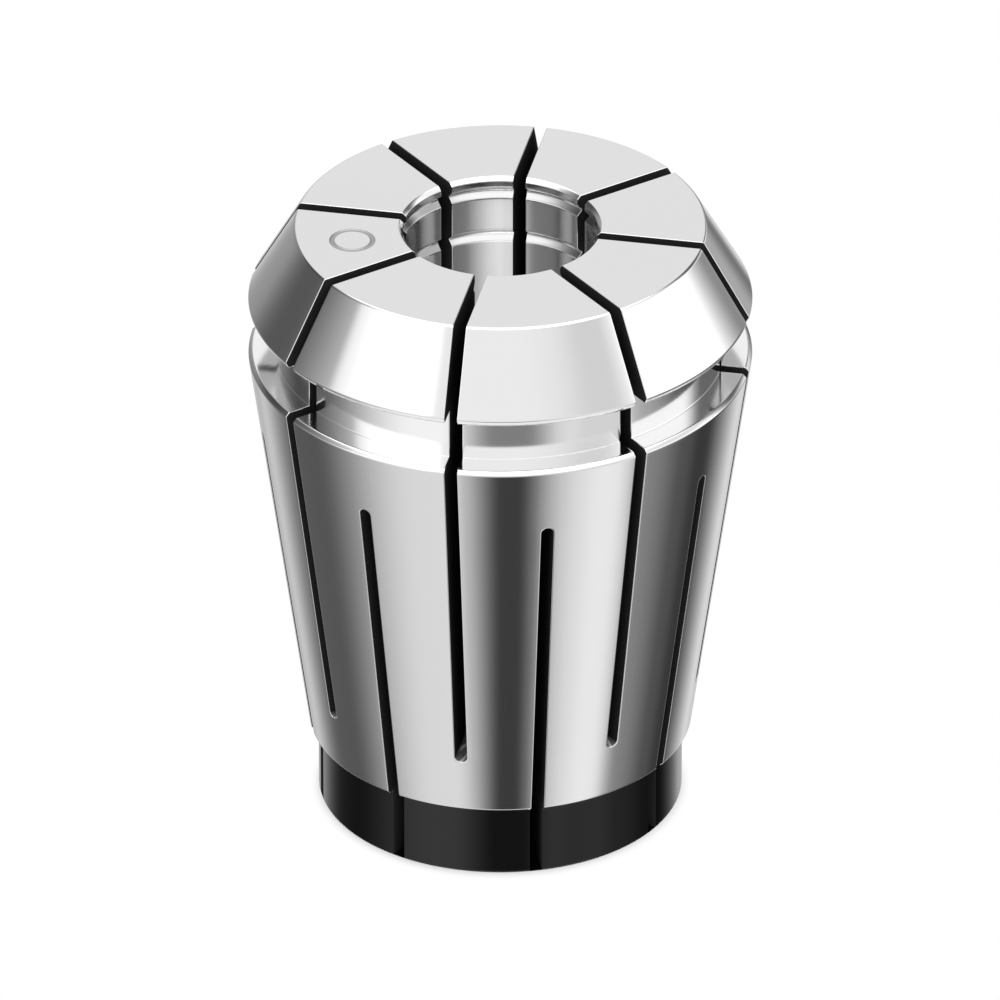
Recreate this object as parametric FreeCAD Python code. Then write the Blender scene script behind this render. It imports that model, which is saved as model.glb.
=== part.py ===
import FreeCAD, Part
import math
import os

# A spring collet for tool holders: one hardened steel piece, turned, slotted and ground.
# It stands on its rear end. Millimetres, +Z runs from the rear end to the front face,
# and the origin is the centre of the rear end face.

# Outside, from the front face down
overall_length = 33.15       # rear end to front face
head_diameter = 26.0         # largest diameter, at the foot of the nose cone and at the shoulder
nose_height = 4.16           # front face to the foot of the nose cone
nose_half_angle = 30.0       # degrees, nose cone against the axis
face_bevel = 0.08            # broken edge round the front face
foot_bevel_drop = 0.33       # steep bevel under the foot of the cone, along the axis
foot_bevel_inset = 0.18      # the same bevel across the axis
groove_depth = 1.43          # extraction groove, below the head's largest radius
shoulder_drop = 7.15         # front face to the flat shoulder under the groove
shoulder_bevel = 0.2         # broken edge of the shoulder
taper_half_angle = 8.0       # degrees, long back taper against the axis
taper_end_bevel = 0.2        # broken edge at the small end of the taper
tail_length = 3.88           # straight tail behind the taper
tail_step = 0.45             # how far the tail lies below the small end of the taper
tail_bevel = 0.05            # broken edge of the rear end

# Bore
bore_diameter = 10.0         # gripping bore, the size of the largest shank it takes
mouth_bevel = 0.2            # bevel at the front of the bore
rear_bore_bevel = 0.3        # bevel at the rear of the bore
relief_depth = 0.28          # depth of the two turned relief grooves, with 45 degree flanks
relief_floor = 0.08          # flat at the bottom of a relief groove
relief_drops = (0.86, 3.39)  # front face to the middle of each relief groove

# Slots, cut in turn from the front and from the rear
slot_count = 8               # slots from each end
slot_width = 0.66
tail_web = 7.09              # metal left between a front slot's round end and the rear end
nose_web = 10.84             # metal left between a rear slot's round end and the front face
run_out = 1.0                # how far a cutter starts outside the piece

head_radius = head_diameter / 2
bore_radius = bore_diameter / 2


def outer_profile():
    """Outside of the collet as (radius, height) points, from the front face to the rear end."""
    face_radius = head_radius - nose_height * math.tan(math.radians(nose_half_angle))
    cone_top_radius = face_radius + face_bevel * math.tan(math.radians(nose_half_angle))
    foot = overall_length - nose_height
    foot_edge = foot - foot_bevel_drop
    groove_radius = head_radius - groove_depth
    shoulder = overall_length - shoulder_drop
    taper_top = shoulder - shoulder_bevel
    taper_slope = math.tan(math.radians(taper_half_angle))
    taper_end_radius = head_radius - (taper_top - tail_length) * taper_slope
    bevel_start = tail_length + taper_end_bevel
    bevel_start_radius = taper_end_radius + taper_end_bevel * taper_slope
    tail_radius = taper_end_radius - tail_step
    return [
        (cone_top_radius - face_bevel, overall_length),
        (cone_top_radius, overall_length - face_bevel),
        (head_radius, foot),
        (head_radius - foot_bevel_inset, foot_edge),
        (groove_radius, foot_edge),
        (groove_radius, shoulder),
        (head_radius - shoulder_bevel, shoulder),
        (head_radius, taper_top),
        (bevel_start_radius, bevel_start),
        (bevel_start_radius - taper_end_bevel, tail_length),
        (tail_radius, tail_length),
        (tail_radius, tail_bevel),
        (tail_radius - tail_bevel, 0.0),
    ]


def bore_profile():
    """Wall of the bore as (radius, height) points, from the rear end to the front face."""
    points = [
        (bore_radius + rear_bore_bevel, 0.0),
        (bore_radius, rear_bore_bevel),
    ]
    half_floor = relief_floor / 2
    half_mouth = half_floor + relief_depth
    for drop in sorted(relief_drops, reverse=True):
        middle = overall_length - drop
        points += [
            (bore_radius, middle - half_mouth),
            (bore_radius + relief_depth, middle - half_floor),
            (bore_radius + relief_depth, middle + half_floor),
            (bore_radius, middle + half_mouth),
        ]
    points += [
        (bore_radius, overall_length - mouth_bevel),
        (bore_radius + mouth_bevel, overall_length),
    ]
    return points


def turned_blank():
    """The collet before it is slotted: its section, turned once round the axis."""
    section = [FreeCAD.Vector(r, 0, z) for r, z in outer_profile() + bore_profile()]
    wire = Part.makePolygon(section + section[:1])
    return Part.Face(wire).revolve(FreeCAD.Vector(0, 0, 0), FreeCAD.Vector(0, 0, 1), 360)


def slot_cutter(round_end, open_end):
    """Flat cutter from the axis out towards -Y, with a full round at one end."""
    half = slot_width / 2
    inward = 1 if open_end > round_end else -1
    centre = round_end + inward * half
    left_top = FreeCAD.Vector(-half, 0, open_end)
    left_tangent = FreeCAD.Vector(-half, 0, centre)
    tip = FreeCAD.Vector(0, 0, round_end)
    right_tangent = FreeCAD.Vector(half, 0, centre)
    right_top = FreeCAD.Vector(half, 0, open_end)
    outline = Part.Wire([
        Part.LineSegment(left_top, left_tangent).toShape(),
        Part.Arc(left_tangent, tip, right_tangent).toShape(),
        Part.LineSegment(right_tangent, right_top).toShape(),
        Part.LineSegment(right_top, left_top).toShape(),
    ])
    return Part.Face(outline).extrude(FreeCAD.Vector(0, -(head_radius + run_out), 0))


def slot_cutters():
    """All slots: the front ones first, then the rear ones half a pitch further round."""
    pitch = 360.0 / slot_count
    front = slot_cutter(tail_web, overall_length + run_out)
    rear = slot_cutter(overall_length - nose_web, -run_out)
    cutters = []
    for cutter, start in ((front, 0.0), (rear, pitch / 2)):
        for index in range(slot_count):
            turned = cutter.copy()
            turned.rotate(FreeCAD.Vector(0, 0, 0), FreeCAD.Vector(0, 0, 1), start + index * pitch)
            cutters.append(turned)
    return cutters


collet = turned_blank()
for cutter in slot_cutters():
    collet = collet.cut(cutter)
collet = collet.removeSplitter()

os.makedirs("parts", exist_ok=True)
collet.exportStep("parts/collet.step")

box = collet.BoundBox
print("collet: solids", len(collet.Solids), "valid", collet.isValid(), "closed", collet.Solids[0].isClosed())
print("size %.2f x %.2f x %.2f mm" % (box.XLength, box.YLength, box.ZLength))
print("volume %.1f mm3, faces %d" % (collet.Volume, len(collet.Faces)))
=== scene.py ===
# %% [markdown]
# A spring collet, made as a lesson in cells.
# The real one is a single piece of tool steel. It is turned on a lathe, slotted from both ends,
# hardened, and then ground bright wherever it has to fit: on the nose, the taper and the bore.
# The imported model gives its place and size. This script gives it clean surfaces, small broken
# edges and its finishes, and puts it on a white studio floor.

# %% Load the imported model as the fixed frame
import math

import bmesh
import bpy
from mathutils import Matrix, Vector


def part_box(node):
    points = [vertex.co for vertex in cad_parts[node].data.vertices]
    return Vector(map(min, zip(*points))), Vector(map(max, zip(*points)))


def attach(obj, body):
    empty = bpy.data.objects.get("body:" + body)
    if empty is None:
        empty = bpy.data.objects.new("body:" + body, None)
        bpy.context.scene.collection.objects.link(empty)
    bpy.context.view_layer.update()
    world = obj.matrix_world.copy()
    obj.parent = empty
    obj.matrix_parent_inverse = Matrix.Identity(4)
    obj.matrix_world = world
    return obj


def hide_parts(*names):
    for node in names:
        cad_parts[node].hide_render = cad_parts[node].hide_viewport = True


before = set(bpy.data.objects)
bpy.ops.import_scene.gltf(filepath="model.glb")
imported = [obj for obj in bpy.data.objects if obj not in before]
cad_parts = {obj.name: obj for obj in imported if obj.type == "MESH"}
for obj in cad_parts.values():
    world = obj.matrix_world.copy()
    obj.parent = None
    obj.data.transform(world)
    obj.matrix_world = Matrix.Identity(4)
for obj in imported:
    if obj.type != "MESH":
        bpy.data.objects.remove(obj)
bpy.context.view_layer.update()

MM = 0.001
low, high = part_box("collet")
print("CAD box in mm:", [round(c / MM, 2) for c in (*low, *high)])

# %% [markdown]
# First the sizes. They are those of the drawing that the piece is turned from, in millimetres,
# and every point of the mesh is worked out from them. Heights are counted from the rear end,
# which the collet stands on, and drops from the front face.

# %% Sizes of the turned piece
LENGTH = 33.15
HEAD_R = 13.0
NOSE_HEIGHT, NOSE_ANGLE = 4.16, math.radians(30)
FACE_BEVEL = 0.08
FOOT_DROP, FOOT_INSET = 0.33, 0.18
GROOVE_DEPTH = 1.43
SHOULDER_DROP, SHOULDER_BEVEL = 7.15, 0.2
TAPER_ANGLE, TAPER_END_BEVEL = math.radians(8), 0.2
TAIL_LENGTH, TAIL_STEP, TAIL_BEVEL = 3.88, 0.45, 0.05
BORE_R, MOUTH_BEVEL, REAR_BORE_BEVEL = 5.0, 0.2, 0.3
RELIEF_DEPTH, RELIEF_FLOOR = 0.28, 0.08
RELIEF_DROPS = (0.86, 3.39)

# %% [markdown]
# The slots are cut with a thin disc cutter, or by wire, and end in a full round. Eight start from
# the front and eight from the rear, so the fingers hang together in one long zigzag that springs.
# Each stops in a web of metal, and the round's centre follows from that web.

# %% Sizes of the slots
SLOTS = 8
SLOT_HALF = 0.33
TAIL_WEB, NOSE_WEB = 7.09, 10.84
HALF_PITCH = math.pi / SLOTS
FRONT_ROUND = TAIL_WEB + SLOT_HALF
REAR_ROUND = LENGTH - NOSE_WEB - SLOT_HALF
print("round ends are centred at", round(FRONT_ROUND, 2), "and", round(REAR_ROUND, 2), "mm")

# %% [markdown]
# The section is one closed loop of corners, walked so that the metal is always on the left:
# out along the rear end, up the outside, in across the front face and down the bore.
# A lathe leaves no knife edges, so each corner gets a small arc. Without it an edge would catch
# no light at all. A support row close to each arc keeps the flat between two corners flat when
# the surface is shaded smooth.

# %% Corners of the section, each with the finish of the run that leaves it
GROUND, TURNED, RELIEF_PAINTED_SHADE, BLACK, SAWN_AND_SHADE, MARKED, HONED = 0, 1, 2, 3, 4, 5, 6


def section_corners():
    slope = math.tan(TAPER_ANGLE)
    face_r = HEAD_R - NOSE_HEIGHT * math.tan(NOSE_ANGLE)
    cone_top_r = face_r + FACE_BEVEL * math.tan(NOSE_ANGLE)
    foot_edge = LENGTH - NOSE_HEIGHT - FOOT_DROP
    shoulder = LENGTH - SHOULDER_DROP
    taper_top = shoulder - SHOULDER_BEVEL
    end_r = HEAD_R - (taper_top - TAIL_LENGTH) * slope
    bevel_r = end_r + TAPER_END_BEVEL * slope
    corners = [
        (BORE_R + REAR_BORE_BEVEL, 0, BLACK),
        (end_r - TAIL_STEP - TAIL_BEVEL, 0, BLACK),
        (end_r - TAIL_STEP, TAIL_BEVEL, BLACK),
        (end_r - TAIL_STEP, TAIL_LENGTH, BLACK),
        (bevel_r - TAPER_END_BEVEL, TAIL_LENGTH, GROUND),
        (bevel_r, TAIL_LENGTH + TAPER_END_BEVEL, GROUND),
        (HEAD_R, taper_top, GROUND),
        (HEAD_R - SHOULDER_BEVEL, shoulder, TURNED),
        (HEAD_R - GROOVE_DEPTH, shoulder, TURNED),
        (HEAD_R - GROOVE_DEPTH, foot_edge, TURNED),
        (HEAD_R - FOOT_INSET, foot_edge, TURNED),
        (HEAD_R, LENGTH - NOSE_HEIGHT, GROUND),
        (cone_top_r, LENGTH - FACE_BEVEL, GROUND),
        (cone_top_r - FACE_BEVEL, LENGTH, GROUND),
        (BORE_R + MOUTH_BEVEL, LENGTH, TURNED),
        (BORE_R, LENGTH - MOUTH_BEVEL, HONED),
    ]
    wide, narrow = RELIEF_FLOOR / 2 + RELIEF_DEPTH, RELIEF_FLOOR / 2
    for drop in RELIEF_DROPS:
        middle = LENGTH - drop
        corners.append((BORE_R, middle + wide, TURNED))
        corners.append((BORE_R + RELIEF_DEPTH, middle + narrow, TURNED))
        # the lower flank of a relief groove takes a greyer colour, painted shade for the dark deep in it
        corners.append((BORE_R + RELIEF_DEPTH, middle - narrow, RELIEF_PAINTED_SHADE))
        corners.append((BORE_R, middle - wide, HONED))
    corners.append((BORE_R, REAR_BORE_BEVEL, BLACK))
    return [(Vector((r, z)), finish) for r, z, finish in corners]


CORNERS = section_corners()
print(len(CORNERS), "corners in the section")

# %% [markdown]
# The corners become rows, which are the rings of the turned surface. A row knows its point, its
# outward normal and its finish. Outer corners get a wide arc, because tumbling and handling break
# them. Inner corners stay nearly sharp, as the tip of a turning tool leaves them.

# %% Rows of the section: a point, its outward normal and its finish
CORNER_ROUND, INNER_ROUND = 0.1, 0.02
ARC_STEP = math.radians(16)
SUPPORT = 0.07
BLOCK = 0.62
BLOCK_STEPS = 4


class Row:
    """One ring of the turned surface: radius and height, outward normal, and finish above it."""

    def __init__(self, point, normal, finish):
        self.point, self.normal, self.finish = point, normal, finish


def corner_arc(before, corner, after):
    """Points and normals of the small arc that replaces a corner."""
    enter, leave = (corner - before).normalized(), (after - corner).normalized()
    turn = math.atan2(enter.cross(leave), enter.dot(leave))
    shortest = min((corner - before).length, (after - corner).length)
    wanted = CORNER_ROUND if turn > 0 else INNER_ROUND
    rounding = min(wanted, 0.45 * shortest / math.tan(abs(turn) / 2))
    reach = rounding * math.tan(abs(turn) / 2)
    side = 1 if turn > 0 else -1
    inward = Vector((-enter.y, enter.x)) * side
    centre = corner - enter * reach + inward * rounding
    steps = max(2, math.ceil(abs(turn) / ARC_STEP))
    arc = []
    for i in range(steps + 1):
        angle = turn * i / steps
        spoke = Vector((-inward.x * math.cos(angle) + inward.y * math.sin(angle),
                        -inward.x * math.sin(angle) - inward.y * math.cos(angle)))
        arc.append((centre + spoke * rounding, spoke * side))
    return arc


def marks_between(start, end):
    """Distances along a straight run where a row is needed besides its ends."""
    length = (end - start).length
    marks = [SUPPORT, length - SUPPORT] if length > 3 * SUPPORT else []
    rise = end.y - start.y
    for base, way in ((FRONT_ROUND, -1), (REAR_ROUND, 1)):
        for i in range(BLOCK_STEPS + 1):
            height = base + way * BLOCK * i / BLOCK_STEPS
            if abs(rise) > 2 * BLOCK and min(start.y, end.y) < height < max(start.y, end.y):
                marks.append((height - start.y) / rise * length)
    return sorted(marks)


def section_rows():
    spots = [corner for corner, finish in CORNERS]
    count = len(spots)
    arcs = [corner_arc(spots[i - 1], spots[i], spots[(i + 1) % count]) for i in range(count)]
    rows = []
    for i, arc in enumerate(arcs):
        finish = CORNERS[i][1]
        rows += [Row(point, normal, finish) for point, normal in arc]
        start, end = arc[-1][0], arcs[(i + 1) % count][0][0]
        along = (end - start).normalized()
        rows += [Row(start + along * d, arc[-1][1], finish) for d in marks_between(start, end)]
    return rows


ROWS = section_rows()
print(len(ROWS), "rows round the section")

# %% [markdown]
# The slots repeat every 45 degrees, and each 45 degree piece is its own mirror image. So only
# half a finger has to be modelled: from the middle of a front slot to the middle of the rear
# slot next to it. Its surface is a grid of rows and columns. The columns follow the slot walls,
# which are parallel and not radial. Round a slot's end the grid bends into a fan, so that the
# rounded edge keeps its width all the way round. A boolean cut would be quicker to write, but it
# leaves slivers along the slots, and polished metal shows every one of them.

# %% The half finger's points
EDGE = 0.025
EDGE_STEPS = ((1.0, 0.0), (0.29, 0.29), (0.0, 1.0))
FAN_SHARES = (0.0, 0.12, 0.42, 0.7, 1.0)
MIDDLE = 12
NEAR = 1e-4
FRONT, REAR = 0, 1


class Net:
    """Vertices and faces of the half finger; a point that comes twice is welded later."""

    def __init__(self):
        self.points, self.faces, self.finishes = [], [], []

    def add(self, row, slot, across, depth=0.0):
        """A point at a distance across from the slot's middle plane, and sunk below the surface."""
        spot = row.point - row.normal * depth
        angle = math.asin(across / spot.x)
        return self.at(spot, angle if slot == FRONT else HALF_PITCH - angle)

    def at(self, spot, angle):
        self.points.append((spot.x * math.sin(angle) * MM, -spot.x * math.cos(angle) * MM, spot.y * MM))
        return len(self.points) - 1

    def quad(self, a, b, c, d, finish):
        self.faces.append((a, b, c, d))
        self.finishes.append(finish)

    def strip(self, first, second, finishes):
        """Quads between two lines of points, one finish for each quad."""
        for i, finish in enumerate(finishes):
            self.quad(first[i], first[i + 1], second[i + 1], second[i], finish)


net = Net()


def has_slot(row, slot):
    height = row.point.y
    return height > FRONT_ROUND - NEAR if slot == FRONT else height < REAR_ROUND + NEAR


def is_solid(row, slot):
    height = row.point.y
    return height < FRONT_ROUND - BLOCK + NEAR if slot == FRONT else height > REAR_ROUND + BLOCK - NEAR


def beside_slot(row, slot):
    """Columns between the slot's edge and the side of the block beside it."""
    reach = BLOCK - SLOT_HALF - EDGE
    return [net.add(row, slot, SLOT_HALF + EDGE + reach * share) for share in FAN_SHARES]


def across_web(row, slot):
    """Columns from the slot's middle plane to the side of the block, where no slot is cut."""
    return [net.add(row, slot, BLOCK * i / BLOCK_STEPS) for i in range(BLOCK_STEPS + 1)]


# %% [markdown]
# The turned surface is laid out first. The columns between two slots are spread evenly, and
# beside a slot they run parallel to it. Where no slot is cut, plain columns close the web.

# %% The turned surface, between the slots and beside them
def middle_columns(row):
    start = math.asin(BLOCK / row.point.x)
    span = HALF_PITCH - 2 * start
    return [net.at(row.point, start + span * i / MIDDLE) for i in range(MIDDLE + 1)]


for this, following in zip(ROWS, ROWS[1:] + ROWS[:1]):
    net.strip(middle_columns(this), middle_columns(following), [this.finish] * MIDDLE)
    for slot in (FRONT, REAR):
        if has_slot(this, slot) and has_slot(following, slot):
            columns = len(FAN_SHARES) - 1
            net.strip(beside_slot(this, slot), beside_slot(following, slot), [this.finish] * columns)
        elif is_solid(this, slot) and is_solid(following, slot):
            net.strip(across_web(this, slot), across_web(following, slot), [this.finish] * BLOCK_STEPS)
print(len(net.faces), "faces on the turned surface of half a finger")

# %% [markdown]
# Round a slot's end a square block of surface is left open, and a fan of faces fills it. Its inner
# ring is the slot's half circle and its outer ring is the block, with a few rings in between.

# %% The fan of faces round a slot's end
QUARTER = 2 * BLOCK_STEPS


def skin_row(slot, bore, height):
    """The ring of the taper or of the bore at a height."""
    if bore:
        return Row(Vector((BORE_R, height)), Vector((-1, 0)), GROUND)
    radius = HEAD_R - (LENGTH - SHOULDER_DROP - SHOULDER_BEVEL - height) * math.tan(TAPER_ANGLE)
    return Row(Vector((radius, height)), Vector((math.cos(TAPER_ANGLE), -math.sin(TAPER_ANGLE))), GROUND)


def square_side(i):
    """Point i of the block's side and end, as a distance across and along the slot."""
    if i <= BLOCK_STEPS:
        return BLOCK, BLOCK * i / BLOCK_STEPS
    return BLOCK * (QUARTER - i) / BLOCK_STEPS, BLOCK


def round_line(slot, bore, radius, depth, out):
    """A quarter turn round the slot's end, a share out of the way from its edge to the block."""
    centre, way = (FRONT_ROUND, -1) if slot == FRONT else (REAR_ROUND, 1)
    line = []
    for i in range(QUARTER + 1):
        angle = math.pi / 2 * i / QUARTER
        side_across, side_along = square_side(i)
        across = (1 - out) * radius * math.cos(angle) + out * side_across
        along = (1 - out) * radius * math.sin(angle) + out * side_along
        row = skin_row(slot, bore, centre + way * along)
        line.append(net.add(row, slot, max(across, 0.0), depth))
    return line


for slot in (FRONT, REAR):
    for bore in (False, True):
        rings = [round_line(slot, bore, SLOT_HALF + EDGE, 0, share) for share in FAN_SHARES]
        for inner, outer in zip(rings, rings[1:]):
            net.strip(inner, outer, [HONED if bore else GROUND] * QUARTER)
print(len(net.faces), "faces with the fans")

# %% [markdown]
# A slot's edge is deburred, not sharp, so three lines of points take the surface round into the
# slot. The wall itself is flat. It is a single face whose outline follows the whole section.

# %% The rounded edges and the walls of the slots
def slot_path(slot):
    """Rows that the slot runs along, in order, from one round end to the other."""
    start = next(i for i, row in enumerate(ROWS) if has_slot(row, slot) and not has_slot(ROWS[i - 1], slot))
    turned = ROWS[start:] + ROWS[:start]
    return [row for row in turned if has_slot(row, slot)]


for slot in (FRONT, REAR):
    path = slot_path(slot)
    # Along the tail the rounded slot edges take the dull black as well, painted shade in place of their
    # glints.
    finishes = [SAWN_AND_SHADE if row.finish == BLACK else row.finish for row in path[:-1]]
    first_bore = slot == REAR
    lines = []
    for share, sunk in EDGE_STEPS:
        radius, depth = SLOT_HALF + EDGE * share, EDGE * sunk
        straight = [net.add(row, slot, radius, depth) for row in path]
        start_round = round_line(slot, first_bore, radius, depth, 0)
        end_round = round_line(slot, not first_bore, radius, depth, 0)
        lines.append((start_round, straight, end_round))
    for (start_a, run_a, end_a), (start_b, run_b, end_b) in zip(lines, lines[1:]):
        net.strip(start_a, start_b, [GROUND] * QUARTER)
        net.strip(run_a, run_b, finishes)
        net.strip(end_a, end_b, [GROUND] * QUARTER)
    wall_start, wall, wall_end = lines[-1]
    net.strip(wall_start, wall_end, [SAWN_AND_SHADE] * QUARTER)
    net.faces.append(tuple(wall))
    net.finishes.append(SAWN_AND_SHADE)
print(len(net.faces), "faces in half a finger")

# %% [markdown]
# The points and faces become a mesh now. The finish goes along as a number on each face, because
# a face keeps its attributes when Geometry Nodes copy it.

# %% Half a finger as a mesh
half_mesh = bpy.data.meshes.new("half_finger")
half_mesh.from_pydata(net.points, [], net.faces)
finish_layer = half_mesh.attributes.new("finish", "INT", "FACE")
finish_layer.data.foreach_set("value", net.finishes)
half_finger = bpy.data.objects.new("half_finger", half_mesh)
bpy.context.scene.collection.objects.link(half_finger)
print("half a finger:", len(half_mesh.vertices), "points")

# %% [markdown]
# The materials come next, because the node tree that builds the whole collet hands them out.
# Colours are written as hex values, the way a paint chart gives them, and one function turns
# them into the linear values that Blender works in.

# %% Helpers for colours and nodes
def linear(hex_colour):
    """A hex colour as Blender's linear colour."""
    channels = [int(hex_colour[i:i + 2], 16) / 255 for i in (1, 3, 5)]
    return (*[c / 12.92 if c <= 0.04045 else ((c + 0.055) / 1.055) ** 2.4 for c in channels], 1.0)


def add_node(tree, kind, settings=None, links=None):
    """Adds a node, sets its properties or input values, and links sockets into its inputs."""
    node = tree.nodes.new(kind)
    for name, value in (settings or {}).items():
        if isinstance(name, str) and hasattr(node, name):
            setattr(node, name, value)
        else:
            node.inputs[name].default_value = value
    for name, source in (links or {}).items():
        tree.links.new(source, node.inputs[name])
    return node


def new_material(name):
    """A material with its tree and its shader."""
    material = bpy.data.materials.new(name)
    material.use_nodes = True
    return material, material.node_tree, material.node_tree.nodes["Principled BSDF"]


print("middle grey #808080 is", round(linear("#808080")[0], 3), "linear")

# %% [markdown]
# Steel is a metal, so its colour is the colour of its reflections, and its default IOR stays. A
# grinding wheel or a turning tool leaves fine rings round the axis. They smear each reflection
# across the rings, which is what the anisotropy with a tangent round the axis does. Real rings
# are about 0.01 mm apart, too fine to show, so they are drawn 0.12 to 0.2 mm apart and very low.

# %% Steel, ground and turned
GRAIN_DETAIL = 3.0
FLAT_SHARE = 0.6  # how fast the rings follow each other on a flat face, against 1 on a wall


def grain(tree, period, height):
    """A bump of fine rings round the axis, as a wheel or a tool leaves them."""
    place = add_node(tree, "ShaderNodeTexCoord").outputs["Object"]
    parts = add_node(tree, "ShaderNodeSeparateXYZ", links={"Vector": place}).outputs
    flat = add_node(tree, "ShaderNodeCombineXYZ", links={"X": parts["X"], "Y": parts["Y"]})
    radius = add_node(tree, "ShaderNodeVectorMath", {"operation": "LENGTH"}, {0: flat.outputs[0]})
    along = add_node(tree, "ShaderNodeMath", {"operation": "MULTIPLY_ADD", 1: -FLAT_SHARE},
                     {0: radius.outputs["Value"], 2: parts["Z"]})
    lines = add_node(tree, "ShaderNodeTexNoise",
                     {"noise_dimensions": "1D", "Scale": 1 / (period * MM), "Detail": GRAIN_DETAIL},
                     {"W": along.outputs[0]})
    return add_node(tree, "ShaderNodeBump", {"Strength": 1.0, "Distance": height * MM},
                    {"Height": lines.outputs[0]})


def steel(name, colour, roughness, stretch, period, height):
    """Bright metal: hex colour, roughness, anisotropy, and the rings' spacing and height in mm."""
    material, tree, shader = new_material(name)
    shader.inputs["Base Color"].default_value = linear(colour)
    shader.inputs["Metallic"].default_value = 1.0
    shader.inputs["Roughness"].default_value = roughness
    shader.inputs["Anisotropic"].default_value = stretch
    shader.inputs["Anisotropic Rotation"].default_value = 0.25
    place = add_node(tree, "ShaderNodeTexCoord").outputs["Object"]
    around = add_node(tree, "ShaderNodeVectorMath", {"operation": "CROSS_PRODUCT", 0: (0, 0, 1)},
                      {1: place})
    tree.links.new(around.outputs[0], shader.inputs["Tangent"])
    bump = grain(tree, period, height)
    tree.links.new(bump.outputs[0], shader.inputs["Normal"])
    return material


# %% [markdown]
# The slots are cut before hardening, so their walls keep the black scale of the furnace. It is
# rough and takes light instead of mirroring it, so it isn't a metal to the eye. Its shine is left
# out entirely, which makes the black also a painted shade that keeps the slots dark as deep gaps.
# On the floor of a slot the cutter's marks show as bare slanting bands. The real marks are a few
# tenths of a millimetre apart. They are drawn 1.95 mm apart, as broad as they need to be to show.

# %% Slot walls, black from hardening and painted shade, with bare saw marks on the floor of a slot
SAW_MARK_SPACING, SAW_MARK_SLANT = 1.95, 3.7
MARK_FADE_START, MARK_FADE_END, MARK_FLOOR_LEVEL = 0.2, 1.0, 0.25
FLOOR_FACING_START, FLOOR_FACING_END = 0.3, 0.8
SCALE_AND_SHADE_BLACK, BARE_STEEL = "#2A2A2A", "#C8C8C8"


def sawn_steel():
    """Black scale and painted shade, with bare bands where a slot's floor faces up or down."""
    material, tree, shader = new_material("hardened_steel_sawn_and_shade")
    shader.inputs["Roughness"].default_value = 0.4
    shader.inputs["Specular IOR Level"].default_value = 0.0
    place = add_node(tree, "ShaderNodeTexCoord").outputs
    parts = add_node(tree, "ShaderNodeSeparateXYZ", links={"Vector": place["Object"]}).outputs
    angle = add_node(tree, "ShaderNodeMath", {"operation": "ARCTAN2"},
                     {0: parts["X"], 1: parts["Y"]})
    near_slot = add_node(tree, "ShaderNodeMath",
                         {"operation": "WRAP", 1: HALF_PITCH / 2, 2: -HALF_PITCH / 2},
                         {0: angle.outputs[0]})
    side = add_node(tree, "ShaderNodeMath", {"operation": "SINE"}, {0: near_slot.outputs[0]})
    slant = add_node(tree, "ShaderNodeMath", {"operation": "MULTIPLY_ADD", 1: -SAW_MARK_SLANT, 2: 1.0},
                     {0: side.outputs[0]})
    flat = add_node(tree, "ShaderNodeCombineXYZ", links={"X": parts["X"], "Y": parts["Y"]})
    radius = add_node(tree, "ShaderNodeVectorMath", {"operation": "LENGTH"}, {0: flat.outputs[0]})
    along = add_node(tree, "ShaderNodeMath", {"operation": "MULTIPLY"},
                     {0: radius.outputs["Value"], 1: slant.outputs[0]})
    turn = add_node(tree, "ShaderNodeMath",
                    {"operation": "MULTIPLY", 1: math.tau / (SAW_MARK_SPACING * MM)},
                    {0: along.outputs[0]})
    wave = add_node(tree, "ShaderNodeMath", {"operation": "SINE"}, {0: turn.outputs[0]})
    lines = add_node(tree, "ShaderNodeMapRange",
                     {"interpolation_type": "SMOOTHSTEP", "From Min": MARK_FADE_START,
                      "From Max": MARK_FADE_END, "To Min": MARK_FLOOR_LEVEL, "To Max": 1.0},
                     {"Value": wave.outputs[0]})
    normal = add_node(tree, "ShaderNodeSeparateXYZ", links={"Vector": place["Normal"]}).outputs
    upright = add_node(tree, "ShaderNodeMath", {"operation": "ABSOLUTE"}, {0: normal["Z"]})
    floor_share = add_node(tree, "ShaderNodeMapRange",
                           {"From Min": FLOOR_FACING_START, "From Max": FLOOR_FACING_END},
                           {"Value": upright.outputs[0]})
    bare = add_node(tree, "ShaderNodeMath", {"operation": "MULTIPLY"},
                    {0: lines.outputs[0], 1: floor_share.outputs[0]})
    colour = add_node(tree, "ShaderNodeMix", {"data_type": "RGBA"}, {"Factor": bare.outputs[0]})
    colour.inputs[6].default_value = linear(SCALE_AND_SHADE_BLACK)
    colour.inputs[7].default_value = linear(BARE_STEEL)
    tree.links.new(colour.outputs[2], shader.inputs["Base Color"])
    return material


# %% [markdown]
# All finishes are on the same tool steel, and differ by how each surface was made; two of them also carry
# painted shade:
# - ground: cone, taper and front face, made with a fine wheel. Sharp, bright reflections.
# - turned: groove and small edges, left as the lathe made them. Brightest, a little more smeared.
# - relief: lower flanks of the relief grooves, turned, but greyer than turned: painted shade for the dark
#   deep in the grooves.
# - black: the tail, which keeps the smooth black of hardening. Dark, with faint clear reflections.
# - sawn: the slots and the tail's rounded slot edges, black and dull, painted shade so that they read as
#   deep gaps.
# - marked: the shallow ring, etched. A matt grey line on the bright face.
# - honed: the bore, rubbed with stones. Softer and greyer than the ground outside.

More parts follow.
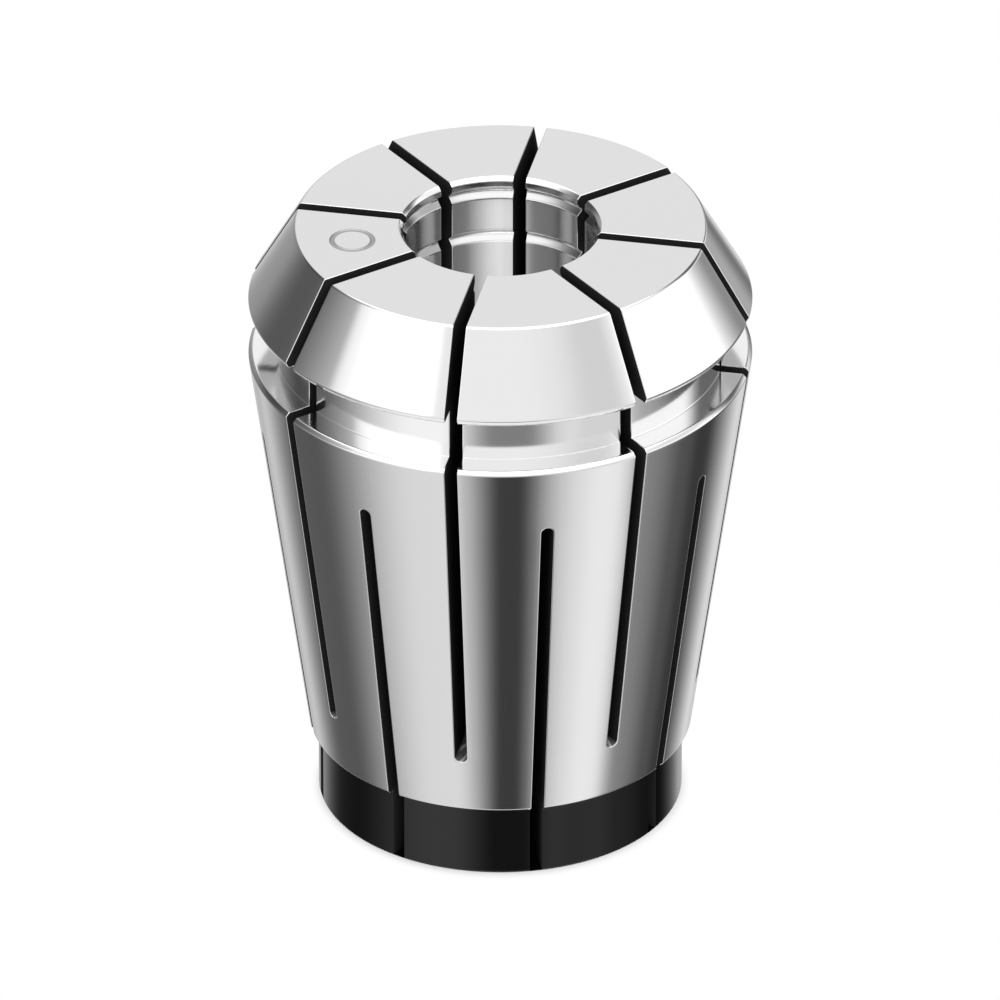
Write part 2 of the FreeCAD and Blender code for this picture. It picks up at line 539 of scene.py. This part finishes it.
# %% The finishes, one for each way of making, two of them with painted shade
FINISHES = {
    GROUND: steel("hardened_steel_ground", "#DADADA", 0.1, 0.5, 0.12, 0.00012),
    TURNED: steel("hardened_steel_turned", "#ECECEC", 0.12, 0.6, 0.2, 0.0001),
    # painted shade: the same turned steel in a greyer colour, for the dark deep in the relief grooves
    RELIEF_PAINTED_SHADE: steel("hardened_steel_relief_painted_shade", "#A8A8A8", 0.12, 0.6, 0.2, 0.0001),
    BLACK: steel("hardened_steel_black", "#343434", 0.05, 0.3, 0.2, 0.0001),
    SAWN_AND_SHADE: sawn_steel(),
    MARKED: steel("hardened_steel_marked", "#A6A6A6", 0.25, 0.0, 0.2, 0.0001),
    HONED: steel("hardened_steel_honed", "#BCBCBC", 0.17, 0.0, 0.2, 0.0001),
}
print("materials:", [m.name for m in FINISHES.values()])

# %% [markdown]
# The whole collet follows a rule: half a finger, its mirror image, and eight of those round the
# axis. That is what Geometry Nodes are good at. The tree takes the number of slots and the
# distance within which points are welded, and ends by handing each face its finish.

# %% A node tree that turns half a finger into the collet
def collet_tree():
    tree = bpy.data.node_groups.new("fingers_round_axis", "GeometryNodeTree")
    sockets = tree.interface
    sockets.new_socket("Half finger", in_out="INPUT", socket_type="NodeSocketGeometry")
    sockets.new_socket("Slots from each end", in_out="INPUT", socket_type="NodeSocketInt")
    sockets.new_socket("Weld distance", in_out="INPUT", socket_type="NodeSocketFloat")
    sockets.new_socket("Collet", in_out="OUTPUT", socket_type="NodeSocketGeometry")
    given = add_node(tree, "NodeGroupInput").outputs
    half, count, weld = given["Half finger"], given["Slots from each end"], given["Weld distance"]

    mirror = add_node(tree, "GeometryNodeTransform", {"Scale": (-1, 1, 1)}, {"Geometry": half})
    mirrored = add_node(tree, "GeometryNodeFlipFaces", links={"Mesh": mirror.outputs[0]})
    finger = add_node(tree, "GeometryNodeJoinGeometry", links={"Geometry": half})
    tree.links.new(mirrored.outputs[0], finger.inputs["Geometry"])

    index = add_node(tree, "GeometryNodeInputIndex")
    pitch = add_node(tree, "ShaderNodeMath", {"operation": "DIVIDE", 0: math.tau}, {1: count})
    turn = add_node(tree, "ShaderNodeMath", {"operation": "MULTIPLY"},
                    {0: index.outputs[0], 1: pitch.outputs[0]})
    turns = add_node(tree, "ShaderNodeCombineXYZ", links={"Z": turn.outputs[0]})
    points = add_node(tree, "GeometryNodePoints", links={"Count": count})
    fingers = add_node(tree, "GeometryNodeInstanceOnPoints",
                       links={"Points": points.outputs[0], "Instance": finger.outputs[0],
                              "Rotation": turns.outputs[0]})
    made = add_node(tree, "GeometryNodeRealizeInstances", links={"Geometry": fingers.outputs[0]})
    shape = add_node(tree, "GeometryNodeMergeByDistance",
                     links={"Geometry": made.outputs[0], "Distance": weld})

    finish = add_node(tree, "GeometryNodeInputNamedAttribute", {"data_type": "INT", "Name": "finish"})
    for number, material in FINISHES.items():
        chosen = add_node(tree, "FunctionNodeCompare", {"data_type": "INT", "operation": "EQUAL"})
        tree.links.new(finish.outputs["Attribute"], chosen.inputs[2])
        chosen.inputs[3].default_value = number
        shape = add_node(tree, "GeometryNodeSetMaterial", {"Material": material},
                         {"Geometry": shape.outputs[0], "Selection": chosen.outputs[0]})
    add_node(tree, "NodeGroupOutput", links={"Collet": shape.outputs[0]})
    return tree


# %% [markdown]
# The tree runs as a modifier on the half finger. Its result is copied out as a plain mesh, and
# the half finger isn't needed any more.

# %% Run the tree and keep its result as a plain mesh
WELD = 0.0008 * MM


def set_input(modifier, name, value):
    """Sets a modifier's input by the identifier of its socket."""
    items = modifier.node_group.interface.items_tree
    socket = next(s for s in items if s.name == name and s.in_out == "INPUT")
    modifier[socket.identifier] = value


half_mesh.materials.append(FINISHES[GROUND])
builder = half_finger.modifiers.new("fingers", "NODES")
builder.node_group = collet_tree()
set_input(builder, "Slots from each end", SLOTS)
set_input(builder, "Weld distance", WELD)
depsgraph = bpy.context.evaluated_depsgraph_get()
collet_mesh = bpy.data.meshes.new_from_object(half_finger.evaluated_get(depsgraph), depsgraph=depsgraph)
collet_mesh.name = "collet_steel"
if FINISHES[MARKED].name not in collet_mesh.materials:
    collet_mesh.materials.append(FINISHES[MARKED])
collet = bpy.data.objects.new("collet_steel", collet_mesh)
bpy.context.scene.collection.objects.link(collet)
half_finger.modifiers.remove(builder)
bpy.data.objects.remove(half_finger)
print("materials on the mesh:", [m.name for m in collet_mesh.materials])

# %% [markdown]
# The front face of the real one carries a small engraved mark. Here it is a plain shallow ring,
# in the middle of one finger. The flat faces there come out, a round patch of mesh goes in, and
# triangles close the flat left between them, so the ring is a real dent that light runs round.

# %% A shallow ring in the front face
MARK_ANGLE, MARK_CENTRE_R = math.radians(-67.5), 7.75
MARK_OUTER, MARK_LINE, MARK_DEPTH = 1.2, 0.3, 0.02
MARK_SIDES, MARK_STEPS = 96, 10


def flat_faces_at(work, angle):
    """The wide flat faces of the front face between the slots on both sides of an angle."""
    chosen = []
    for face in work.faces:
        spots = [vert.co / MM for vert in face.verts]
        reaches = [math.hypot(s.x, s.y) for s in spots]
        level = all(abs(s.z - LENGTH) < NEAR for s in spots)
        if level and max(reaches) - min(reaches) > HEAD_R / 5:
            turns = [math.remainder(math.atan2(s.x, -s.y) - angle, math.tau) for s in spots]
            limits = [HALF_PITCH - math.asin((BLOCK - NEAR) / r) for r in reaches]
            if all(abs(t) < limit for t, limit in zip(turns, limits)):
                chosen.append(face)
    return chosen


def sink_ring(work, ground, marked):
    """Replaces flat faces by a patch with a ring sunk into it."""
    faces = flat_faces_at(work, MARK_ANGLE)
    inside = set(faces)
    edges = {edge for face in faces for edge in face.edges}
    border = [edge for edge in edges if len(inside.intersection(edge.link_faces)) == 1]
    bmesh.ops.delete(work, geom=faces, context="FACES")
    centre = Vector((MARK_CENTRE_R * math.sin(MARK_ANGLE), -MARK_CENTRE_R * math.cos(MARK_ANGLE), LENGTH))
    rings = []
    for step in range(-1, MARK_STEPS + 2):
        share = step / MARK_STEPS
        radius = MARK_OUTER - MARK_LINE * share
        sunk = min(max(share, 0), 1)
        depth = MARK_DEPTH * (1 - math.cos(math.tau * sunk)) / 2
        ring = []
        for i in range(MARK_SIDES):
            angle = math.tau * i / MARK_SIDES
            spot = centre + Vector((radius * math.cos(angle), radius * math.sin(angle), -depth))
            ring.append(work.verts.new(spot * MM))
        rings.append(ring)
    made = [work.faces.new(rings[-1])]
    for step, (outer, inner) in enumerate(zip(rings, rings[1:])):
        for i in range(MARK_SIDES):
            after = (i + 1) % MARK_SIDES
            face = work.faces.new((outer[i], outer[after], inner[after], inner[i]))
            face.material_index = marked if 1 <= step <= MARK_STEPS else ground
    rim = [work.edges.get((rings[0][i - 1], rings[0][i])) for i in range(MARK_SIDES)]
    filled = bmesh.ops.triangle_fill(work, use_beauty=True, edges=border + rim)["geom"]
    made += [item for item in filled if isinstance(item, bmesh.types.BMFace)]
    for face in made:
        face.material_index = ground
    print(len(faces), "flat faces replaced by", len(made))


# %% [markdown]
# Last on the mesh: points that meet become one, faces turn outwards, and everything is shaded
# smooth, apart from the line where a rounded edge meets the flat wall of a slot. The count of open
# edges has to be 0, and the volume has to be that of the solid, about 9185 cubic millimetres.

# %% Weld, turn the faces outwards and keep the slot walls flat
def finish_mesh(mesh):
    work = bmesh.new()
    work.from_mesh(mesh)
    bmesh.ops.remove_doubles(work, verts=work.verts, dist=WELD)
    ground = next(i for i, m in enumerate(mesh.materials) if m == FINISHES[GROUND])
    sawn = next(i for i, m in enumerate(mesh.materials) if m == FINISHES[SAWN_AND_SHADE])
    marked = next(i for i, m in enumerate(mesh.materials) if m == FINISHES[MARKED])
    sink_ring(work, ground, marked)
    bmesh.ops.recalc_face_normals(work, faces=work.faces)
    for face in work.faces:
        face.smooth = True
    for edge in work.edges:
        sides = {face.material_index == sawn for face in edge.link_faces}
        edge.smooth = len(sides) == 1
    open_edges = sum(1 for edge in work.edges if len(edge.link_faces) != 2)
    volume = work.calc_volume(signed=True)
    work.to_mesh(mesh)
    print("faces", len(work.faces), "open edges", open_edges, "volume mm3", round(volume / MM ** 3, 1))
    work.free()


finish_mesh(collet_mesh)
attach(collet, "root")
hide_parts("collet")

# %% [markdown]
# The collet stands upright and the camera looks down on it at about 30 degrees. The sides of the
# photographed piece hardly converge, which means a long lens from about a metre away. The camera
# is set before any light, because what polished metal shows depends on where one stands.

# %% Camera
AZIMUTH, ELEVATION = math.radians(11.3), math.radians(30.3)
DISTANCE, AIM_HEIGHT = 1.0817, 16.825 * MM
AXIS_OFFSET_PIXELS = 0.35
camera_data = bpy.data.cameras.new("camera")
camera_data.lens = 751.9
camera_data.shift_x = -AXIS_OFFSET_PIXELS / 1000
camera = bpy.data.objects.new("camera", camera_data)
bpy.context.scene.collection.objects.link(camera)
toward_camera = Vector((math.sin(AZIMUTH), -math.cos(AZIMUTH), 0))
line_of_sight = toward_camera * math.cos(ELEVATION) + Vector((0, 0, math.sin(ELEVATION)))
camera.location = Vector((0, 0, AIM_HEIGHT)) + line_of_sight * DISTANCE
camera.rotation_euler = (math.pi / 2 - ELEVATION, 0, AZIMUTH)
bpy.context.scene.camera = camera
print("camera at", [round(c, 3) for c in camera.location], "m, lens", round(camera_data.lens), "mm")

# %% [markdown]
# The studio floor is one large white plane. To the camera it is pure white, so the background
# doesn't depend on the light. Only close to the tail does its own shading come through, which
# leaves the small soft shadow of a piece that stands on a table. Under the tail's wall the floor is
# painted nearly black, a painted shade that shows as a dark line where the two touch and through
# the slots. Metal doesn't mirror the floor, because the cards of the next steps stand for it.

# %% Studio: floor
FLOOR = 3.0
SHADE_START, SHADE_END, SHADE_SHIFT = 8.95 * MM, 9.95 * MM, 0.3 * MM
# painted shade: a ring of the floor under the tail's wall, 5.2 to 9.44 mm off the axis, is painted nearly
# black
PAINTED_SHADE_MIDDLE, PAINTED_SHADE_HALF = 7.32 * MM, 2.12 * MM
floor_mesh = bpy.data.meshes.new("floor")
floor_mesh.from_pydata([(-FLOOR, -FLOOR, 0), (FLOOR, -FLOOR, 0), (FLOOR, FLOOR, 0), (-FLOOR, FLOOR, 0)],
                       [], [(0, 1, 2, 3)])
floor = bpy.data.objects.new("floor", floor_mesh)
bpy.context.scene.collection.objects.link(floor)
floor.visible_glossy = False
floor_material, floor_tree, floor_shader = new_material("floor_white")
floor_shader.inputs["Roughness"].default_value = 1.0
floor_shader.inputs["Specular IOR Level"].default_value = 0.0
ray = add_node(floor_tree, "ShaderNodeLightPath").outputs
spot = add_node(floor_tree, "ShaderNodeTexCoord").outputs["Object"]
reach = add_node(floor_tree, "ShaderNodeVectorMath", {"operation": "LENGTH"}, {0: spot})
# painted shade: the ring under the tail's wall takes the nearly black colour and no white
painted_shade_ring = add_node(floor_tree, "ShaderNodeMath", {"operation": "COMPARE", 1: PAINTED_SHADE_MIDDLE, 2: PAINTED_SHADE_HALF},
                 {0: reach.outputs["Value"]})
floor_colour_and_painted_shade = add_node(floor_tree, "ShaderNodeMix", {"data_type": "RGBA"}, {"Factor": painted_shade_ring.outputs[0]})
floor_colour_and_painted_shade.inputs[6].default_value = linear("#E6E6E6")
floor_colour_and_painted_shade.inputs[7].default_value = linear("#0A0A0A")
floor_tree.links.new(floor_colour_and_painted_shade.outputs[2], floor_shader.inputs["Base Color"])
shifted = add_node(floor_tree, "ShaderNodeVectorMath",
                   {"operation": "SUBTRACT", 1: toward_camera * SHADE_SHIFT}, {0: spot})
away = add_node(floor_tree, "ShaderNodeVectorMath", {"operation": "LENGTH"}, {0: shifted.outputs[0]})
clear = add_node(floor_tree, "ShaderNodeMapRange",
                 {"interpolation_type": "SMOOTHSTEP", "From Min": SHADE_START, "From Max": SHADE_END},
                 {"Value": away.outputs["Value"]})
outside = add_node(floor_tree, "ShaderNodeMath", {"operation": "SUBTRACT", 0: 1.0}, {1: painted_shade_ring.outputs[0]})
open_floor = add_node(floor_tree, "ShaderNodeMath", {"operation": "MULTIPLY"},
                      {0: clear.outputs[0], 1: outside.outputs[0]})
seen = add_node(floor_tree, "ShaderNodeMath", {"operation": "MULTIPLY"},
                {0: open_floor.outputs[0], 1: ray["Is Camera Ray"]})
white = add_node(floor_tree, "ShaderNodeEmission", {"Color": (1, 1, 1, 1), "Strength": 1.0})
mixed = add_node(floor_tree, "ShaderNodeMixShader",
                 links={0: seen.outputs[0], 1: floor_shader.outputs[0], 2: white.outputs[0]})
floor_tree.links.new(mixed.outputs[0], floor_tree.nodes["Material Output"].inputs["Surface"])
floor_mesh.materials.append(floor_material)
print("floor", 2 * FLOOR, "m wide, shaded within", round(SHADE_END / MM, 2), "mm of the axis")

# %% [markdown]
# A bore is a deep hole with mirror walls, and no card outside it shows there. So small area lamps
# stand upright in it, hidden from the camera. A wide one makes the wall grey. One with a narrow
# spread adds the bright band in the middle, because a narrow spread looks dim from the side. A
# third faces the other way and lights the floors of the slots, where the saw left bare marks.

# %% Studio: lamps in the bore
def area_lamp(name, place, facing, width, height, spread, level):
    """An area lamp that the camera doesn't see; place and sizes in mm, spread in degrees."""
    data = bpy.data.lights.new(name, "AREA")
    data.shape = "RECTANGLE"
    data.size, data.size_y = width * MM, height * MM
    data.spread = math.radians(spread)
    data.energy = 4 * level * data.size * data.size_y
    lamp = bpy.data.objects.new(name, data)
    bpy.context.scene.collection.objects.link(lamp)
    lamp.location = place * MM
    lamp.rotation_euler = facing.to_track_quat("-Z", "Y").to_euler()
    lamp.visible_camera = False
    return lamp


LAMP_LOW, LAMP_HIGH, LAMP_WIDTH = 4.0, 30.4, 8.8
bore_middle = Vector((0, 0, (LAMP_LOW + LAMP_HIGH) / 2))
WALL_LAMPS = {
    # mm behind the axis, spread in degrees, brightness; two lamps in one plane would count as one
    "bore_lamp_wide": (1.6, 180, 0.22),
    "bore_lamp_narrow": (2.0, 96, 0.39),
}
for name, (behind, spread, level) in WALL_LAMPS.items():
    spot = bore_middle - toward_camera * behind
    area_lamp(name, spot, -toward_camera, LAMP_WIDTH, LAMP_HIGH - LAMP_LOW, spread, level)
slot_lamp = area_lamp("slot_lamp", bore_middle, toward_camera, LAMP_WIDTH, LAMP_HIGH - LAMP_LOW, 180, 1.0)
slot_lamp.visible_glossy = False
print("lamps:", [item.name for item in bpy.data.lights])

# %% [markdown]
# Polished metal shows its surroundings and little else. So the studio is a pale tent, and each
# stretch of light or dark on the metal is a card hung in it: a softbox above, flags that are
# black, gauzes that only dim. A card is a patch of sky with soft edges. That is easier to move
# than a lamp, and it casts no hard shadow.

# %% Studio: the cards
# azimuth, half width, softness; lower and upper elevation, softness; gain
TENT = 1.07
CARDS = {
    "overhead softbox": (0, 181, 1, 48, 91, 6, 2.3),
    "zenith flag": (0, 181, 1, 76, 91, 4, 0.3),
    "left softbox": (-56, 24, 2.5, 12, 42, 5, 1.75),
    "right softbox": (88, 28, 8, 2, 29, 5, 1.6),
    "front glow": (-5, 28, 14, 20, 42, 6, 1.1),
    "grey card, front right": (50, 14, 9, 14, 34, 5, 0.83),
    "back wall": (180, 14, 8, 16, 46, 6, 0.98),
    "left flag": (-112, 38, 31, -60, -12, 10, 0.12),
    "left flag, upper": (-116, 34, 31, -12, 44, 10, 0.12),
    "left flag, high": (-142, 22, 10, 18, 46, 6, 0.4),
    "left reflector, low": (-138, 14, 12, -60, -26, 5, 1.3),
    "left back gauze": (-160, 20, 14, -22, 10, 5, 0.6),
    "left low gauze": (-60, 40, 20, -60, -37, 3, 0.9),
    "camera flag": (5, 20, 16, -60, -39, 3, 0.05),
    "camera flag, upper": (5, 22, 15, -36, -24, 3, 0.18),
    "right gauze, upper": (54, 18, 10, -36, -26, 3, 0.68),
    "camera gauze": (34, 8, 10, -60, -36, 5, 0.87),
    "right reflector, low": (56, 8, 8, -60, -36, 5, 1.08),
    "right flag": (118, 22, 20, -60, 0, 5, 0.05),
    "right flag, near edge": (90, 19, 9, -60, -36, 4, 0.3),
    "right flag, near edge, upper": (90, 19, 9, -36, 0, 4, 0.42),
    "right back gauze": (150, 22, 12, -60, -24, 6, 0.84),
    "right back flag": (163, 16, 12, -22, 6, 4, 0.2),
    "right back flag, high": (143, 26, 9, 14, 46, 6, 0.15),
    "behind": (-170, 14, 8, -60, -24, 6, 0.62),
    "behind, right": (172, 12, 8, -60, -24, 6, 0.7),
}
print(len(CARDS), "cards in the tent")

# %% [markdown]
# Every card does the same sum: how far a direction lies from the card's middle, first round the
# horizon and then up and down, and from that how much of the card's gain applies. So the sum is
# made once, as a node group, and the group is chained once for each card in the list.

# %% Studio: the node group of one card
def card_group():
    """Multiplies a level by a gain inside a soft-edged patch of sky."""
    group = bpy.data.node_groups.new("studio_card", "ShaderNodeTree")
    for name in ("Level", "Azimuth", "Elevation", "Centre", "Half width", "Soft sides",
                 "Middle height", "Half height", "Soft ends", "Gain"):
        group.interface.new_socket(name, in_out="INPUT", socket_type="NodeSocketFloat")
    group.interface.new_socket("Level", in_out="OUTPUT", socket_type="NodeSocketFloat")
    given = add_node(group, "NodeGroupInput").outputs
    masks = []
    for place, centre, half, soft in (("Azimuth", "Centre", "Half width", "Soft sides"),
                                      ("Elevation", "Middle height", "Half height", "Soft ends")):
        off = add_node(group, "ShaderNodeMath", {"operation": "SUBTRACT"},
                       {0: given[place], 1: given[centre]})
        round_off = add_node(group, "ShaderNodeMath", {"operation": "WRAP", 1: 180.0, 2: -180.0},
                             {0: off.outputs[0]})
        distance = add_node(group, "ShaderNodeMath", {"operation": "ABSOLUTE"}, {0: round_off.outputs[0]})
        outer = add_node(group, "ShaderNodeMath", {"operation": "ADD"}, {0: given[half], 1: given[soft]})
        inner = add_node(group, "ShaderNodeMath", {"operation": "SUBTRACT"},
                         {0: given[half], 1: given[soft]})
        mask = add_node(group, "ShaderNodeMapRange", {"interpolation_type": "SMOOTHSTEP"},
                        {"Value": distance.outputs[0], "From Min": outer.outputs[0],
                         "From Max": inner.outputs[0]})
        masks.append(mask.outputs[0])
    both = add_node(group, "ShaderNodeMath", {"operation": "MULTIPLY"}, {0: masks[0], 1: masks[1]})
    change = add_node(group, "ShaderNodeMath", {"operation": "SUBTRACT", 1: 1.0}, {0: given["Gain"]})
    factor = add_node(group, "ShaderNodeMath", {"operation": "MULTIPLY_ADD", 2: 1.0},
                      {0: both.outputs[0], 1: change.outputs[0]})
    level = add_node(group, "ShaderNodeMath", {"operation": "MULTIPLY"},
                     {0: given["Level"], 1: factor.outputs[0]})
    add_node(group, "NodeGroupOutput", links={"Level": level.outputs[0]})
    return group


CARD = card_group()
print("one card takes", len(CARD.nodes), "nodes")

# %% [markdown]
# The world looks up each direction, turned so that azimuth 0 is towards the camera. The camera
# itself, and light through glass, see plain white. Everything else sees the tent with its cards.

# %% Studio: hang the cards in the world
def hang_cards(tree, direction):
    """Brightness seen in a direction, once every card has multiplied it by its gain."""
    turned = add_node(tree, "ShaderNodeVectorRotate", {"rotation_type": "Z_AXIS", "Angle": -AZIMUTH},
                      {"Vector": direction})
    unit = add_node(tree, "ShaderNodeVectorMath", {"operation": "NORMALIZE"}, {0: turned.outputs[0]})
    parts = add_node(tree, "ShaderNodeSeparateXYZ", links={"Vector": unit.outputs[0]}).outputs
    toward = add_node(tree, "ShaderNodeMath", {"operation": "MULTIPLY", 1: -1.0}, {0: parts["Y"]})
    heading = add_node(tree, "ShaderNodeMath", {"operation": "ARCTAN2"},
                       {0: parts["X"], 1: toward.outputs[0]})
    azimuth = add_node(tree, "ShaderNodeMath", {"operation": "DEGREES"}, {0: heading.outputs[0]})
    pitch = add_node(tree, "ShaderNodeMath", {"operation": "ARCSINE"}, {0: parts["Z"]})
    elevation = add_node(tree, "ShaderNodeMath", {"operation": "DEGREES"}, {0: pitch.outputs[0]})
    start = add_node(tree, "ShaderNodeValue")
    start.outputs[0].default_value = TENT
    level = start.outputs[0]
    for centre, half, soft, low_edge, high_edge, end_soft, gain in CARDS.values():
        sizes = {"node_tree": CARD, "Centre": centre, "Half width": half, "Soft sides": soft,
                 "Middle height": (low_edge + high_edge) / 2, "Half height": (high_edge - low_edge) / 2,
                 "Soft ends": end_soft, "Gain": gain}
        places = {"Level": level, "Azimuth": azimuth.outputs[0], "Elevation": elevation.outputs[0]}
        level = add_node(tree, "ShaderNodeGroup", sizes, places).outputs[0]
    return level


world = bpy.data.worlds.new("studio")
world.use_nodes = True
bpy.context.scene.world = world
world_tree = world.node_tree
world_tree.nodes.clear()
direction = add_node(world_tree, "ShaderNodeTexCoord").outputs["Generated"]
rays = add_node(world_tree, "ShaderNodeLightPath").outputs
seen = add_node(world_tree, "ShaderNodeMath", {"operation": "MAXIMUM"},
                {0: rays["Is Camera Ray"], 1: rays["Is Transmission Ray"]}).outputs[0]
tent = add_node(world_tree, "ShaderNodeBackground", {"Color": (1, 1, 1, 1)},
                {"Strength": hang_cards(world_tree, direction)})
plain = add_node(world_tree, "ShaderNodeBackground", {"Color": (1, 1, 1, 1), "Strength": 1.0})
choose = add_node(world_tree, "ShaderNodeMixShader",
                  links={0: seen, 1: tent.outputs[0], 2: plain.outputs[0]})
add_node(world_tree, "ShaderNodeOutputWorld", links={"Surface": choose.outputs[0]})
print("nodes in the world:", len(world_tree.nodes))

# %% [markdown]
# Last, the plain view transform, so that a colour shows as it is written.

# %% Settings and the closing lines
scene = bpy.context.scene
scene.view_settings.view_transform = "Standard"
